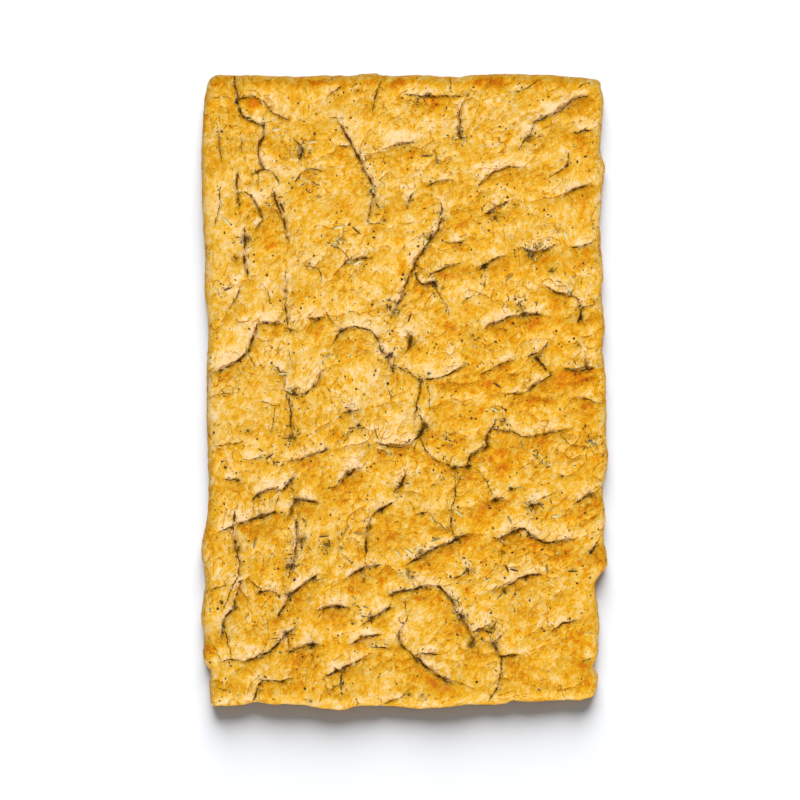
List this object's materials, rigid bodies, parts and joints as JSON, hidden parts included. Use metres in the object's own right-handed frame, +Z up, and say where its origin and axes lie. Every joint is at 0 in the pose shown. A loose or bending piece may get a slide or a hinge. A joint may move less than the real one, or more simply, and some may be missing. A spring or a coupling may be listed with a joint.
{
  "type": "focaccia",
  "caption": "Whole rectangular sheet of tray-baked focaccia with creased, pillowy golden crust and rosemary baked on, lying flat.",
  "frame": {"origin": "centre of the underside, on the surface that the bread lies on", "axes": "+X across the sheet, +Y along its length, +Z up out of the crust"},
  "size_m": [0.3678, 0.5762, 0.0237],
  "materials": {
    "crust": "golden baked crust, lightly oiled satin",
    "rosemary": "dry baked rosemary needles, matt"
  },
  "bodies": {
    "root": {"focaccia": "crust"}
  },
  "joints": []
}
